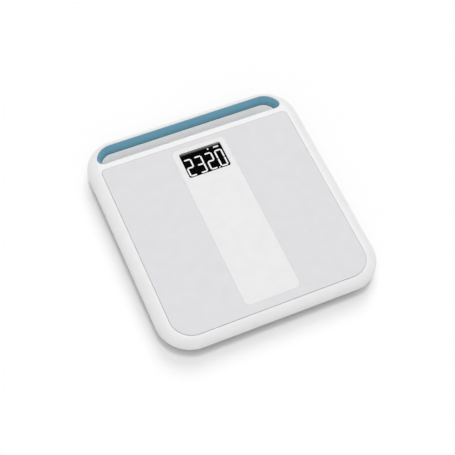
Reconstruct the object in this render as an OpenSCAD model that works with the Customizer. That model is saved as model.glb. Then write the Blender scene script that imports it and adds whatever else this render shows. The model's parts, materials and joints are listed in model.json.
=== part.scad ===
// Digital bathroom scale with a carry handle, four load cells and an inlaid platform mat.
// Millimetres. X points right, Y back to the handle, Z up; the origin is on the floor under the middle.

/* [Overall] */
// Width from side to side
scale_w = 331; // [320:1:345]
// Depth from front to back, handle included
scale_d = 356; // [350:1:370]
// Height from the floor to the top of the mat
scale_h = 38; // [37:0.5:42]
// Radius of the outer corners seen from above
corner_r = 50; // [44:1:56]
// Wall of the two covers
wall_t = 2.6; // [2.2:0.1:3]

/* [Rim] */
// Width of the rim beside the mat, over which it rounds off
rim_side = 18; // [16:0.5:20]
// Width of the rim in front of the mat
rim_front = 13.5; // [12:0.5:18]
// Height over which the rim rounds off
rim_drop = 12; // [11:0.5:13]
// Radius of the tight arc at the rim's outer edge
rim_tight_r = 8.5; // [7.5:0.5:9]
// Height of the rim from its flat top to its underside
rim_depth = 19; // [18:0.5:20]
// Radius of the rim's lower edge
rim_lower_r = 3.5; // [3:0.5:4]
// Upright edge between the lower rounding and the seam of the covers
seam_rise = 0.6; // [0.4:0.1:1]

/* [Platform] */
// Depth of the mat, front to back
mat_d = 293.6; // [288:0.2:294]
// Thickness of the mat
mat_t = 2.3; // [2:0.1:2.6]
// How far the mat stands above the rim's flat top
mat_proud = 0.5; // [0.3:0.1:0.6]
// Corner radius of the mat at the front
mat_front_r = 32; // [28:1:34]
// Corner radius of the mat at the back
mat_rear_r = 7; // [5:1:9]
// Gap round the mat and round the strip
inlay_gap = 0.35; // [0.3:0.05:0.5]
// Width of the strip down the middle of the mat
strip_w = 84; // [82:1:90]
// Mat left in front of the strip
strip_front_gap = 14; // [12:0.5:16]
// Mat left behind the strip
strip_rear_gap = 8.2; // [8:0.2:10]
// Corner radius of the strip
strip_r = 8; // [6:1:10]
// Thickness of the deck under the mat
deck_t = 2.7; // [2.4:0.1:3]

/* [Display] */
// Width of the window
window_w = 65; // [62:0.5:66]
// Depth of the window
window_d = 44; // [42:0.5:44]
// Corner radius of the window
window_r = 3; // [2:0.5:4]
// Strip left behind the window
window_rear_gap = 7.5; // [7.5:0.5:9]
// Thickness of the lens under the window
lens_t = 1.2; // [1:0.1:1.3]
// How far the lens reaches under the strip on each side
lens_lap = 3; // [2.5:0.5:3.5]
// Height of a digit between the middles of its strokes
digit_h = 28; // [26:0.5:28]
// Width of a digit between the middles of its strokes
digit_w = 9.8; // [9:0.2:10]
// Distance from one digit to the next
digit_pitch = 16.2; // [15.8:0.1:16.4]
// Width of a digit's strokes
stroke_w = 2.2; // [1.8:0.1:2.4]
// Thickness of the display glass
glass_t = 2.6; // [2.4:0.1:2.8]
// Thickness of the backlight
backlight_t = 2.6; // [2.4:0.1:3]

/* [Handle] */
// Bridge between the mat and the handle slot
bridge_d = 9.4; // [9:0.2:10]
// Slot opening from front to back
slot_d = 30.2; // [30:0.2:31]
// Rim left at each end of the slot
slot_side = 19; // [18:0.5:21]
// Radius of the slot's two rear corners
slot_corner_r = 27; // [26:1:28]
// Radius of the slot's two front corners, where the rear ones run into them
slot_tip_r = 9; // [7:0.5:11]
// White lip above the soft grip, down from the rim's flat top
lip_drop = 3.7; // [3.5:0.1:4]
// Thickness of the grip at its top
grip_t = 2; // [1.8:0.1:2.2]
// How far the grip leans into the slot at its bottom
grip_lean = 7.5; // [6:0.5:8]
// Rounding of the grip's lower edge
grip_edge_r = 2; // [1.5:0.5:2.5]

/* [Base] */
// Clearance between the floor and the base
base_lift = 6; // [6:0.5:7]
// How far the base is set in from the outer edge
base_inset = 14; // [12:1:16]
// Corner radius of the base
base_corner_r = 26; // [24:1:30]
// Rounding of the base's lower edge
base_edge_r = 5; // [4:0.5:6]
// Rim's underside left between the base and the slot
base_rear_gap = 4.4; // [4:0.2:6]

/* [Feet] */
// Distance of the feet from the middle, sideways
foot_x = 115; // [112:1:116]
// Front feet, forward of the middle
foot_front = 127; // [124:1:128]
// Rear feet, behind the middle
foot_rear = 98; // [94:1:100]
// Radius of the well that a foot sits in
well_r = 25; // [24:0.5:25]
// Outer radius of a foot
foot_r = 21; // [19:0.5:22]
// Radius of the rubber pad under a foot
pad_r = 18; // [16:0.5:18.5]
// Thickness of the rubber pad
pad_t = 2.6; // [2.2:0.1:3]
// How far a foot can be pressed in before the overload stop
foot_travel = 0.8; // [0.5:0.1:0.9]
// Side of the square load cell
cell_w = 34; // [32:1:34]
// Thickness of the load cell's plate
cell_t = 2; // [1.8:0.1:2.2]

/* [Batteries] */
// Radius of a battery
battery_r = 7.25; // [7.1:0.05:7.25]
// Length of a battery, its nub included
battery_len = 50.5; // [49.5:0.1:50.5]
// Distance from one battery to the next
battery_pitch = 15.2; // [15:0.1:15.6]
// Thickness of the battery door
door_t = 2; // [1.8:0.1:2.2]
// Radius of the door's hinge pins
door_pin_r = 1.1; // [1:0.05:1.2]

/* [Electronics] */
// Width of the circuit board
board_w = 84; // [80:1:88]
// Depth of the circuit board
board_d = 46; // [44:1:46]
// Thickness of the circuit board
board_t = 1.6; // [1.2:0.2:1.6]
// Height of the board's underside above the floor
board_z = 14.4; // [14.4:0.2:15]
// Radius of a button cap on the underside
button_r = 4.5; // [4:0.25:5]
// Travel of a button
button_travel = 0.8; // [0.5:0.1:0.8]
// Radius of one insulated wire
wire_r = 0.55; // [0.4:0.05:0.6]

/* [Hidden] */
$fn = 72;
eps = 0.02;
fit_gap = 0.15;
pin_gap = 0.06;

// Heights of the stack, from the top down
rim_z = scale_h - mat_proud;
recess_z = scale_h - mat_t;
deck_z = recess_z - deck_t;
shoulder_z = rim_z - rim_drop;
rim_under_z = rim_z - rim_depth;
seam_z = rim_under_z + rim_lower_r + seam_rise;
base_floor_z = base_lift + wall_t - 0.2;

// Two arcs that meet without a kink and stand in for the rim's quarter ellipse
rim_broad_r = (pow(rim_side - rim_tight_r, 2) + pow(rim_drop, 2) - pow(rim_tight_r, 2))
    / (2 * (rim_drop - rim_tight_r));
rim_broad_share = (rim_side - rim_tight_r) / (rim_broad_r - rim_tight_r);
round_x = corner_r - rim_side;

// Outlines in plan
mat_x = scale_w / 2 - rim_side;
mat_front_y = -scale_d / 2 + rim_front;
mat_rear_y = mat_front_y + mat_d;
strip_front_y = mat_front_y + strip_front_gap;
strip_rear_y = mat_rear_y - strip_rear_gap;
window_rear_y = strip_rear_y - window_rear_gap;
window_front_y = window_rear_y - window_d;
window_y = (window_front_y + window_rear_y) / 2;
slot_x = scale_w / 2 - slot_side;
slot_front_y = mat_rear_y + bridge_d;
slot_rear_y = slot_front_y + slot_d;
slot_arc_x = slot_x - slot_corner_r;
slot_arc_y = slot_rear_y - slot_corner_r;
slot_wall = 2;
grip_gap = 0.1;
base_x = scale_w / 2 - base_inset;
base_front_y = -scale_d / 2 + base_inset;
base_rear_y = slot_front_y - base_rear_gap;
base_y = (base_front_y + base_rear_y) / 2;
base_d = base_rear_y - base_front_y;

// Display stack
glass_w = window_w + 1.6;
glass_top_z = recess_z - 0.2;
glass_z = glass_top_z - glass_t;
glass_front_y = window_front_y + 0.3;
glass_rear_y = window_rear_y + 0.8;
display_hole_w = glass_w + 0.6;
display_front_y = window_front_y - 1.1;
display_rear_y = window_rear_y + 1.1;
segment_t = 0.12;
backlight_z = glass_z - backlight_t;
frame_wall = 3.4;
frame_floor_t = 2;
frame_z = backlight_z - frame_floor_t;
ear_x = 41.5;
ear_r = 4;
ear_ys = [window_y - 16.5, window_y + 16.5];
digit_text = ["2", "3", "2", "0"];

// Stiffener plate under the deck
plate_t = 1.2;
plate_x = scale_w / 2 - 23.5;
plate_front_y = -scale_d / 2 + 20;
plate_rear_y = mat_rear_y - 1;
plate_r = 22;
stakes = [
    for (x = [-95, 95]) for (y = [-72, -10, 45]) [x, y],
    [0, plate_front_y + 12], [-30, 45], [30, 45]
];

// Screws that hold the covers together
cover_screw_sites = [
    for (x = [-135, 135]) for (y = [-60, 40]) [x, y],
    [-45, base_front_y + 13], [45, base_front_y + 13],
    [-70, base_rear_y - 15], [70, base_rear_y - 15]
];
boss_r = 4;
boss_seat_z = 14;
screw_r = 1.5;
screw_head_r = 2.9;
screw_head_t = 2.2;
screw_well_z = 11;

// Feet and load cells
foot_sites = [[-foot_x, -foot_front], [foot_x, -foot_front], [-foot_x, foot_rear], [foot_x, foot_rear]];
cell_z = base_lift + 4.6;
ledge_z = cell_z + cell_t;
well_roof_z = ledge_z + 1.8;
tower_z = well_roof_z + 2;
well_wall = 2;
lead_z = tower_z + 2.1;
lead_step = 1.3;
wire_sides = 8;
wire_bend = 5;

// Battery box
box_x = 2 * battery_pitch + 0.8;
box_wall = 1.8;
box_rear_y = 6.2;
box_front_y = box_rear_y - battery_len - 7.9;
box_roof_z = base_lift + door_t + 16.2;
battery_z = base_lift + door_t + battery_r + 1.1;
contact_t = 0.4;
nub_gap = 0.6;
front_contact_y = box_front_y + 0.01;
rear_contact_y = box_rear_y - contact_t - 0.01;
hinge_y = box_rear_y + box_wall + 2.5;
hinge_z = base_lift + 2;
hinge_r = 2;
hinge_x = 30;
tongue_x = 6;
latch_y = box_front_y - box_wall - 1;

// Circuit board
board_front_y = window_front_y - 4;
board_top_z = board_z + board_t;
board_posts = [
    for (x = [-board_w / 2 + 4, board_w / 2 - 4]) for (y = [4, board_d - 4]) [x, board_front_y + y]
];
button_sites = [[-20, board_front_y + 14], [20, board_front_y + 14]];
switch_t = 3.5;
flange_r = button_r + 1.3;
flange_t = 1.1;
flange_z = base_floor_z + 0.1;
plunger_r = 1.7;
socket_w = 6;
socket_h = 5.5;
socket_x = board_w / 2 - 10.5;
front_socket_y = 3.5;
control_chip_at = [-6, 27];
converter_chip_at = [-24, 30];
radio_module_at = [12, 22];
crystal_at = [-6, 39];

// Where each load cell's lead meets the board: side, and distance behind the board's front edge
lead_ends = [[-1, 14], [1, 14], [-1, 26], [1, 26]];

// Battery springs
coil_turns = 4;
coil_steps = 64;
coil_sides = 6;
coil_wire_r = 0.4;
coil_wide_r = 4.8;
coil_narrow_r = 3;
coil_len = 6.4;

module quarter_disc(r, turn) {
    rotate(turn)
        intersection() {
            circle(r);
            square(r);
        }
}

// Rectangle with one radius at its two front corners and another at its two rear corners
module rounded_rect(x0, x1, y0, y1, front_r, rear_r) {
    polygon([
        [x0 + front_r, y0], [x1 - front_r, y0], [x1, y0 + front_r], [x1, y1 - rear_r],
        [x1 - rear_r, y1], [x0 + rear_r, y1], [x0, y1 - rear_r], [x0, y0 + front_r]
    ]);
    translate([x1 - rear_r, y1 - rear_r])
        quarter_disc(rear_r, 0);
    translate([x0 + rear_r, y1 - rear_r])
        quarter_disc(rear_r, 90);
    translate([x0 + front_r, y0 + front_r])
        quarter_disc(front_r, 180);
    translate([x1 - front_r, y0 + front_r])
        quarter_disc(front_r, 270);
}

// Carries a section round a rounded rectangle: its x runs outward from the corner's centre, its y is height
module sweep_round(w, d, r) {
    for (q = [0 : 3]) {
        side_x = (q == 0 || q == 3) ? 1 : -1;
        side_y = (q < 2) ? 1 : -1;
        translate([side_x * (w / 2 - r), side_y * (d / 2 - r), 0])
            rotate(90 * q)
                rotate_extrude(angle = 90)
                    children();
    }
    for (flip = [0, 1]) {
        mirror([flip, 0, 0])
            translate([w / 2 - r, 0, 0])
                rotate([90, 0, 0])
                    linear_extrude(d - 2 * r, center = true)
                        children();
        mirror([0, flip, 0])
            translate([0, d / 2 - r, 0])
                rotate([90, 0, 90])
                    linear_extrude(w - 2 * r, center = true)
                        children();
    }
}

// The same sweep with its middle filled from z0 to z1
module tray(w, d, r, z0, z1) {
    sweep_round(w, d, r)
        children();
    translate([r - w / 2, r - d / 2, z0])
        cube([w - 2 * r, d - 2 * r, z1 - z0]);
}

// Section of the rim above the seam, set in by a wall's thickness
module rim_section(inset) {
    broad = rim_broad_r - inset;
    translate([0, seam_z])
        square([round_x, rim_z - inset - seam_z]);
    translate([0, seam_z])
        square([corner_r - inset, shoulder_z - seam_z]);
    intersection() {
        translate([round_x, rim_z - rim_broad_r])
            circle(broad);
        translate([round_x, seam_z])
            square([broad * rim_broad_share, rim_depth]);
    }
    translate([corner_r - rim_tight_r, shoulder_z])
        quarter_disc(rim_tight_r - inset, 0);
}

// Section of a shell's lower edge: flat underside at z0, rounded corner of radius edge_r, up to z1
module lower_section(outer_r, edge_r, inset, z0, z1) {
    translate([0, z0 + inset])
        square([outer_r - edge_r, z1 - z0 - inset]);
    translate([0, z0 + edge_r])
        square([outer_r - inset, z1 - z0 - edge_r]);
    translate([outer_r - edge_r, z0 + edge_r])
        quarter_disc(edge_r - inset, 270);
}

// Plan of the handle slot, grown at its back and ends and at its front: at each end the broad arc of the
// rear corner runs into the smaller one of the front corner
module slot_outline(grow, front_grow) {
    broad = slot_corner_r + grow;
    tip = slot_tip_r + front_grow;
    tip_y = slot_front_y + slot_tip_r;
    rise = tip_y - slot_arc_y;
    tip_x = slot_arc_x + sqrt(pow(broad - tip + eps, 2) - rise * rise);
    difference() {
        rounded_rect(
            -slot_x - grow, slot_x + grow, slot_front_y - front_grow, slot_rear_y + grow, 1, broad
        );
        for (side = [-1, 1])
            translate([side * tip_x, tip_y])
                difference() {
                    translate([side > 0 ? 0 : -broad, -tip - 1])
                        square([broad, tip + 1 + rise * tip / (broad - tip)]);
                    circle(tip);
                }
    }
}

// Hollow of the top cover, with a wall left round the slot
module cover_hollow() {
    difference() {
        tray(scale_w, scale_d, corner_r, seam_z - 1, deck_z) {
            intersection() {
                rim_section(wall_t);
                square([corner_r, deck_z]);
            }
            translate([0, seam_z - 1])
                square([corner_r - wall_t, 2]);
        }
        translate([0, 0, seam_z - 2])
            linear_extrude(rim_z)
                slot_outline(grip_t + slot_wall, slot_wall);
    }
}

module mat_outline(gap) {
    rounded_rect(
        gap - mat_x, mat_x - gap, mat_front_y + gap, mat_rear_y - gap, mat_front_r - gap, mat_rear_r - gap
    );
}

module strip_outline(gap) {
    rounded_rect(
        gap - strip_w / 2, strip_w / 2 - gap, strip_front_y + gap, strip_rear_y - gap,
        strip_r - gap, strip_r - gap
    );
}

module top_cover() {
    rib_t = 1.6;
    rib_z = seam_z + 3;
    rib_x = plate_x + 1;
    rib_out_x = scale_w / 2 - rim_tight_r - 1;
    stake_r = 2;
    stake_head_r = 3.2;
    color("white")
        difference() {
            union() {
                difference() {
                    tray(scale_w, scale_d, corner_r, seam_z, rim_z)
                        rim_section(0);
                    cover_hollow();
                }
                for (p = cover_screw_sites)
                    translate([p[0], p[1], boss_seat_z])
                        cylinder(h = deck_z - boss_seat_z + 1, r = boss_r);
                for (x = [-ear_x, ear_x]) for (y = ear_ys)
                    translate([x, y, frame_z + frame_floor_t])
                        cylinder(h = deck_z - frame_z - frame_floor_t + 1, r = 3);
                for (p = stakes) {
                    translate([p[0], p[1], deck_z - plate_t - 0.2])
                        cylinder(h = plate_t + 1, r = stake_r);
                    translate([p[0], p[1], deck_z - plate_t - 1.3])
                        cylinder(h = 1.2, r1 = stake_r, r2 = stake_head_r);
                }
                for (flip = [0, 1]) mirror([flip, 0, 0])
                    for (y = [-100 : 40 : 100])
                        translate([rib_x, y - rib_t / 2, rib_z])
                            cube([rib_out_x - rib_x, rib_t, deck_z + 0.5 - rib_z]);
            }
            translate([0, 0, recess_z])
                linear_extrude(mat_t)
                    mat_outline(0);
            translate([0, 0, rim_z - lip_drop - eps])
                linear_extrude(rim_depth)
                    slot_outline(0, 0);
            translate([0, 0, seam_z - 1])
                linear_extrude(rim_z - lip_drop - seam_z + 1)
                    slot_outline(grip_t, 0);
            translate([-display_hole_w / 2, display_front_y, deck_z - 1])
                cube([display_hole_w, display_rear_y - display_front_y, deck_t + 2]);
            for (p = cover_screw_sites)
                translate([p[0], p[1], boss_seat_z - 1])
                    cylinder(h = 14, r = screw_r + 0.03);
            for (x = [-ear_x, ear_x]) for (y = ear_ys)
                translate([x, y, frame_z])
                    cylinder(h = 6.6, r = 1.2);
        }
}

module platform_mat() {
    color("gainsboro")
        translate([0, 0, recess_z])
            linear_extrude(mat_t)
                difference() {
                    mat_outline(inlay_gap);
                    strip_outline(0);
                }
}

module window_outline(grow) {
    rounded_rect(
        -window_w / 2 - grow, window_w / 2 + grow, window_front_y - grow, window_rear_y + grow,
        window_r, window_r
    );
}

module centre_strip() {
    color("whitesmoke")
        difference() {
            translate([0, 0, recess_z])
                linear_extrude(mat_t)
                    strip_outline(inlay_gap);
            translate([0, 0, recess_z - 1])
                linear_extrude(mat_t + 2)
                    window_outline(0);
            translate([0, 0, recess_z - 1])
                linear_extrude(1 + lens_t + 0.05)
                    window_outline(lens_lap + fit_gap);
        }
}

module display_window() {
    color([0.1, 0.11, 0.12])
        translate([0, 0, recess_z])
            linear_extrude(lens_t)
                window_outline(lens_lap);
}

module display_glass() {
    ledge_d = 3;
    half_t = glass_t / 2;
    color([0.03, 0.03, 0.04]) {
        translate([-glass_w / 2, glass_front_y, glass_z])
            cube([glass_w, glass_rear_y - glass_front_y, half_t]);
        translate([-glass_w / 2, glass_front_y + ledge_d, glass_z + half_t - eps])
            cube([glass_w, glass_rear_y - glass_front_y - ledge_d, half_t + eps]);
    }
}

// One lit stroke of a digit, lying along X with pointed ends
module stroke(length) {
    half = stroke_w / 2;
    tip = length / 2 - 0.15;
    polygon([
        [-tip, 0], [half - tip, half], [tip - half, half],
        [tip, 0], [tip - half, -half], [half - tip, -half]
    ]);
}

// Seven strokes lettered from the top round to the left, with the middle one last
function lit(ch) =
    ch == "2" ? [1, 1, 0, 1, 1, 0, 1] :
    ch == "3" ? [1, 1, 1, 1, 0, 0, 1] :
    [1, 1, 1, 1, 1, 1, 0];

module digit(ch) {
    on = lit(ch);
    half_h = digit_h / 2;
    places = [
        [0, half_h, 0], [digit_w / 2, half_h / 2, 90], [digit_w / 2, -half_h / 2, 90], [0, -half_h, 0],
        [-digit_w / 2, -half_h / 2, 90], [-digit_w / 2, half_h / 2, 90], [0, 0, 0]
    ];
    for (i = [0 : 6])
        if (on[i] == 1)
            translate([places[i][0], places[i][1]])
                rotate(places[i][2])
                    stroke(places[i][2] == 0 ? digit_w : half_h);
}

module display_segments() {
    row_y = window_front_y + 4 + digit_h / 2;
    mark_y = window_rear_y - 5.2;
    color("white")
        translate([0, 0, glass_top_z])
            linear_extrude(segment_t) {
                for (i = [0 : 3])
                    translate([(i - 1.5) * digit_pitch + 0.2, row_y])
                        digit(digit_text[i]);
                translate([digit_pitch, row_y - digit_h / 2 - 0.6])
                    circle(1);
                translate([20.6, mark_y - 1.1])
                    square([8, 2.2]);
                translate([10.9, mark_y - 1.1])
                    square([1.8, 2.6]);
            }
}

module backlight() {
    color("ivory") {
        translate([-glass_w / 2, window_front_y + 4.5, backlight_z])
            cube([glass_w, glass_rear_y - window_front_y - 4.5, backlight_t]);
        for (x = [-18, 18])
            translate([x - 3, window_front_y + 2.4, backlight_z])
                cube([6, 2.2, 1.6]);
    }
}

module display_frame() {
    hole_front = display_front_y;
    hole_rear = display_rear_y;
    outer_x = display_hole_w / 2 + frame_wall;
    ribbon_w = 30;
    color("gainsboro")
        difference() {
            union() {
                translate([-outer_x, hole_front - frame_wall, frame_z])
                    cube([2 * outer_x, hole_rear - hole_front + 2 * frame_wall, deck_z - frame_z]);
                for (x = [-1, 1]) for (y = ear_ys) {
                    translate([x * ear_x, y, frame_z])
                        cylinder(h = frame_floor_t, r = ear_r);
                    translate([min(x * ear_x, x * (outer_x - 1)), y - ear_r, frame_z])
                        cube([abs(ear_x - outer_x + 1), 2 * ear_r, frame_floor_t]);
                }
            }
            translate([-display_hole_w / 2, hole_front, frame_z + frame_floor_t])
                cube([display_hole_w, hole_rear - hole_front, deck_z]);
            for (x = [-ear_x, ear_x]) for (y = ear_ys)
                translate([x, y, frame_z - 1])
                    cylinder(h = frame_floor_t + 2, r = 1.4);
            for (x = [-ear_x, ear_x]) for (y = ear_ys)
                translate([x, y, frame_z + frame_floor_t])
                    cylinder(h = deck_z, r = 3.2);
            translate([-ribbon_w / 2, hole_front - frame_wall - 1, deck_z - 0.9])
                cube([ribbon_w, frame_wall + 2, 1]);
        }
}

// Strip of flexible ribbon seen from the side: Y across the page, Z up
module ribbon_path() {
    t = 0.3;
    bend = 1.5;
    top_z = glass_z - t / 2 - 0.02;
    low_z = board_top_z + 1;
    front_y = board_front_y - 3;
    tail_y = board_front_y + 3.5;
    translate([front_y + bend, top_z - t / 2])
        square([window_front_y + 3.5 - front_y - bend, t]);
    translate([front_y - t / 2, low_z + bend])
        square([t, top_z - low_z - 2 * bend]);
    translate([front_y + bend, low_z - t / 2])
        square([tail_y - front_y - bend, t]);
    for (end = [[low_z + bend, -1], [top_z - bend, 1]])
        translate([front_y + bend, end[0]])
            intersection() {
                difference() {
                    circle(bend + t / 2);
                    circle(bend - t / 2);
                }
                translate([-2 * bend, end[1] > 0 ? 0 : -2 * bend])
                    square(2 * bend);
            }
}

module display_ribbon() {
    width = 28;
    color("peru")
        rotate([90, 0, 90])
            linear_extrude(width, center = true)
                ribbon_path();
}

// Flat steel sheet that spreads the load over the four towers
module stiffener_plate() {
    color("silver")
        translate([0, 0, deck_z - plate_t - 0.05])
            linear_extrude(plate_t)
                difference() {
                    rounded_rect(-plate_x, plate_x, plate_front_y, plate_rear_y, plate_r, plate_r);
                    translate([-ear_x - 6, display_front_y - 8.5])
                        square([2 * ear_x + 12, display_rear_y - display_front_y + 13]);
                    for (p = cover_screw_sites)
                        translate(p)
                            circle(boss_r + 0.8);
                    for (p = stakes)
                        translate(p)
                            circle(2.2);
                }
}

// Section of the soft grip: x runs outward from the slot's edge, y is height
module grip_section() {
    bottom = rim_under_z + 0.2;
    top = rim_z - lip_drop - 0.05;
    height = top - bottom;
    lean = atan2(grip_lean, height);
    centre_x = grip_edge_r / cos(lean) - grip_lean * (height - grip_edge_r) / height;
    outer = grip_t - grip_gap;
    translate([centre_x, bottom + grip_edge_r])
        circle(grip_edge_r);
    polygon([
        [outer, bottom], [outer, top], [0, top],
        [centre_x - grip_edge_r * cos(lean), bottom + grip_edge_r - grip_edge_r * sin(lean)],
        [centre_x, bottom + grip_edge_r], [centre_x, bottom]
    ]);
}

module handle_grip() {
    color([0.39, 0.58, 0.67])
        intersection() {
            union() {
                translate([0, slot_rear_y, 0])
                    rotate([90, 0, 90])
                        linear_extrude(2 * slot_arc_x, center = true)
                            grip_section();
                for (flip = [0, 1]) mirror([flip, 0, 0]) {
                    translate([slot_arc_x, slot_arc_y, 0])
                        rotate_extrude(angle = 90)
                            translate([slot_corner_r, 0])
                                grip_section();
                    translate([slot_x, slot_arc_y, 0])
                        rotate([90, 0, 0])
                            linear_extrude(slot_arc_y - slot_front_y)
                                grip_section();
                }
            }
            translate([0, 0, rim_under_z - 1])
                linear_extrude(rim_depth)
                    slot_outline(grip_t - grip_gap / 2, -grip_gap);
        }
}

// Solid envelope of the lower cover: the rim's underside and the base that hangs from it
module lower_envelope() {
    tray(scale_w, scale_d, corner_r, rim_under_z, seam_z)
        lower_section(corner_r, rim_lower_r, 0, rim_under_z, seam_z);
    translate([0, base_y, 0])
        tray(2 * base_x, base_d, base_corner_r, base_lift, rim_under_z + 1)
            lower_section(base_corner_r, base_edge_r, 0, base_lift, rim_under_z + 1);
}

module lower_hollow() {
    difference() {
        union() {
            tray(scale_w, scale_d, corner_r, rim_under_z + wall_t - 0.2, seam_z + 1)
                lower_section(corner_r, rim_lower_r, wall_t - 0.2, rim_under_z, seam_z + 1);
            translate([0, base_y, 0])
                tray(2 * base_x, base_d, base_corner_r, base_floor_z, seam_z + 1)
                    lower_section(base_corner_r, base_edge_r, wall_t - 0.2, base_lift, seam_z + 1);
        }
        translate([0, 0, rim_under_z])
            linear_extrude(rim_depth)
                slot_outline(grip_t + slot_wall, slot_wall);
    }
}

// Thin wall that stands inside the top cover's wall and locates it
module locating_lip() {
    lip_t = 1.5;
    lip_out = corner_r - wall_t - fit_gap;
    lip_h = seam_z + 2 - rim_under_z - wall_t;
    sweep_round(scale_w, scale_d, corner_r)
        translate([lip_out - lip_t, rim_under_z + wall_t - 0.4])
            square([lip_t, lip_h + 0.4]);
}

// Well, roof and tower round one load cell
module cell_tower(p) {
    rib_t = 2;
    ring = well_r + well_wall;
    tower_top = deck_z - plate_t - 0.1;
    translate([p[0], p[1], 0]) {
        translate([0, 0, base_lift])
            cylinder(h = tower_z - base_lift, r = ring);
        translate([0, 0, tower_z - eps])
            difference() {
                cylinder(h = tower_top - tower_z, r = well_r + 0.6);
                translate([0, 0, -1])
                    cylinder(h = tower_top, r = well_r - 1.4);
            }
        for (turn = [45, 135])
            rotate(turn)
                translate([1 - well_r, -rib_t / 2, tower_z - eps])
                    cube([2 * well_r - 2, rib_t, tower_top - tower_z]);
    }
}

// What is cut out of a tower: the foot's well round two ledges, and the way out for the wires
module cell_well(p) {
    inward = p[0] > 0 ? 180 : 0;
    ledge_w = 4;
    translate([p[0], p[1], 0])
        rotate(inward) {
            difference() {
                translate([0, 0, base_lift - 1])
                    cylinder(h = well_roof_z - base_lift + 1, r = well_r);
                for (y = [-1, 1])
                    translate([-cell_w / 2 + 2, y * (cell_w / 2 - ledge_w / 2) - ledge_w / 2, ledge_z])
                        cube([cell_w - 4, ledge_w, 3]);
            }
            translate([cell_w / 2 + 4, 0, well_roof_z - 1])
                cylinder(h = 4, r = 2.5);
            translate([well_r - 6, -3.5, tower_z])
                cube([10, 7, 5.5]);
        }
}

module battery_box() {
    translate([-box_x - box_wall, box_front_y - box_wall, base_lift])
        cube([
            2 * (box_x + box_wall),
            box_rear_y - box_front_y + 2 * box_wall,
            box_roof_z + box_wall - base_lift
        ]);
    for (side = [-1, 1])
        translate([side * (hinge_x + 2.3) - 2, hinge_y - 4, base_lift])
            cube([4, 7.5, hinge_z + 4 - base_lift]);
    translate([-tongue_x - 4, latch_y - 8, base_lift])
        cube([2 * tongue_x + 8, 9.5, 9.5]);
}

module battery_hollow() {
    door_x = box_x + 1.5;
    translate([-box_x, box_front_y, base_lift - 1])
        cube([2 * box_x, box_rear_y - box_front_y, box_roof_z - base_lift + 1]);
    translate([-door_x, box_front_y - box_wall - 0.6, base_lift - 1])
        cube([2 * door_x, box_rear_y + box_wall + 0.3 - box_front_y + box_wall + 0.6, door_t + 1.2]);
    translate([-hinge_x - 0.2, box_rear_y + 1, base_lift - 1])
        cube([2 * hinge_x + 0.4, hinge_y + hinge_r + 0.35 - box_rear_y - 1, 3.4]);
    translate([-hinge_x - 0.2, box_rear_y + box_wall, base_lift - 1])
        cube([2 * hinge_x + 0.4, hinge_y + hinge_r + 0.35 - box_rear_y - box_wall, 6]);
    translate([-hinge_x - 2.6, hinge_y, hinge_z])
        rotate([0, 90, 0])
            cylinder(h = 2 * hinge_x + 5.2, r = door_pin_r + pin_gap);
    translate([-tongue_x - 2, latch_y - 6.5, base_lift - 1])
        cube([2 * tongue_x + 4, 7.5, 9]);
    for (x = [-1.5, 1.5])
        translate([x * battery_pitch - 2.3, box_rear_y - 0.8, box_roof_z - 1])
            cube([4.6, 0.8, box_wall + 2]);
}

module bottom_cover() {
    rib_t = 1.6;
    rib_top = boss_seat_z - base_floor_z;
    color("whitesmoke")
        difference() {
            union() {
                difference() {
                    lower_envelope();
                    lower_hollow();
                }
                locating_lip();
                for (p = foot_sites)
                    cell_tower(p);
                battery_box();
                for (p = cover_screw_sites)
                    translate([p[0], p[1], base_lift])
                        cylinder(h = boss_seat_z - base_lift, r = 5.5);
                for (p = board_posts)
                    translate([p[0], p[1], base_lift + 1])
                        cylinder(h = board_z - base_lift - 1, r = 3.2);
                for (p = button_sites)
                    translate([p[0], p[1], base_lift + 1])
                        cylinder(h = base_floor_z + 1.8 - base_lift - 1, r = flange_r + 2);
                for (x = [-56, 56])
                    translate([x - rib_t / 2, base_front_y + 1, base_floor_z - 1])
                        cube([rib_t, base_d - 2, rib_top + 1]);
                for (y = [-92, 35])
                    translate([-base_x + 1, y - rib_t / 2, base_floor_z - 1])
                        cube([2 * base_x - 2, rib_t, rib_top + 1]);
            }
            translate([0, 0, rim_under_z - 1])
                linear_extrude(rim_depth)
                    slot_outline(grip_t, 0);
            for (p = foot_sites)
                cell_well(p);
            battery_hollow();
            for (p = cover_screw_sites) {
                translate([p[0], p[1], base_lift - 1])
                    cylinder(h = screw_well_z - base_lift + 1, r = screw_head_r + 0.4);
                translate([p[0], p[1], base_lift])
                    cylinder(h = boss_seat_z, r = screw_r + 0.2);
            }
            for (p = board_posts)
                translate([p[0], p[1], base_floor_z])
                    cylinder(h = board_z, r = 1.1);
            for (p = button_sites) {
                translate([p[0], p[1], base_lift - 1])
                    cylinder(h = 8, r = button_r + fit_gap);
                translate([p[0], p[1], base_floor_z])
                    cylinder(h = 4, r = flange_r + 0.4);
            }
        }
}

// Pan-head screw with a cross slot, head down, its shank pointing up from z = 0
module screw(shank_r, shank_len, head_r, head_t) {
    slot_w = shank_r * 0.55;
    edge_t = head_t * 0.55;
    difference() {
        union() {
            translate([0, 0, -edge_t])
                cylinder(h = edge_t + shank_len, r = shank_r);
            translate([0, 0, -edge_t])
                cylinder(h = edge_t, r = head_r);
            translate([0, 0, -head_t])
                cylinder(h = head_t - edge_t + eps, r1 = head_r * 0.72, r2 = head_r);
        }
        for (turn = [0, 90])
            rotate(turn)
                translate([-head_r * 0.55, -slot_w / 2, -head_t - 1])
                    cube([head_r * 1.1, slot_w, head_t * 0.6 + 1]);
    }
}

module cover_screws() {
    color("silver")
        for (p = cover_screw_sites)
            translate([p[0], p[1], screw_well_z])
                screw(screw_r, 15, screw_head_r, screw_head_t);
}

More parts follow.
